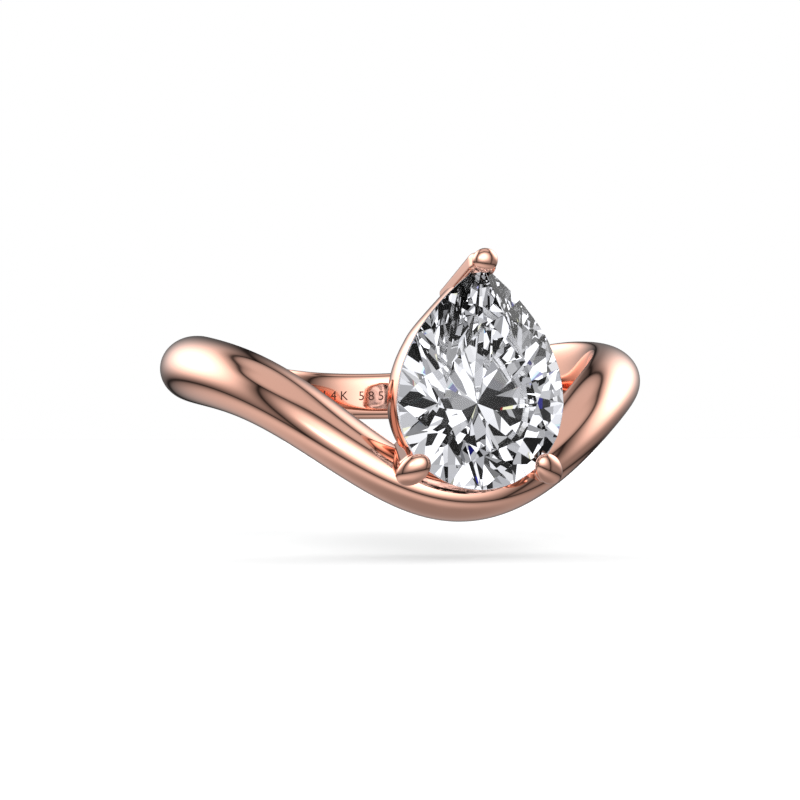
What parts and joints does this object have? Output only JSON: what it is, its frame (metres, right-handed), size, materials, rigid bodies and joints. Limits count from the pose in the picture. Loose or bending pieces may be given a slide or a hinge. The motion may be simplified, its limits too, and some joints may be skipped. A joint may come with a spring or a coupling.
{
  "type": "engagement ring",
  "caption": "Rose gold engagement ring with a wave-shaped band and a pear brilliant stone held by claws in an open basket head.",
  "frame": {"origin": "centre of the finger hole, on its axis, at the mean height of the wave band", "axes": "+Z along the finger hole, towards the stone's point; the stone faces -Y; +X to the wearer's right, seen from the stone's side"},
  "size_m": [0.0216, 0.0238, 0.0106],
  "materials": {
    "rose_gold": "polished",
    "diamond": "polished"
  },
  "bodies": {
    "root": {"shank": "rose_gold", "gallery_rail": "rose_gold", "claw_point": "rose_gold", "claw_left": "rose_gold", "claw_right": "rose_gold", "center_stone": "diamond"}
  },
  "joints": []
}
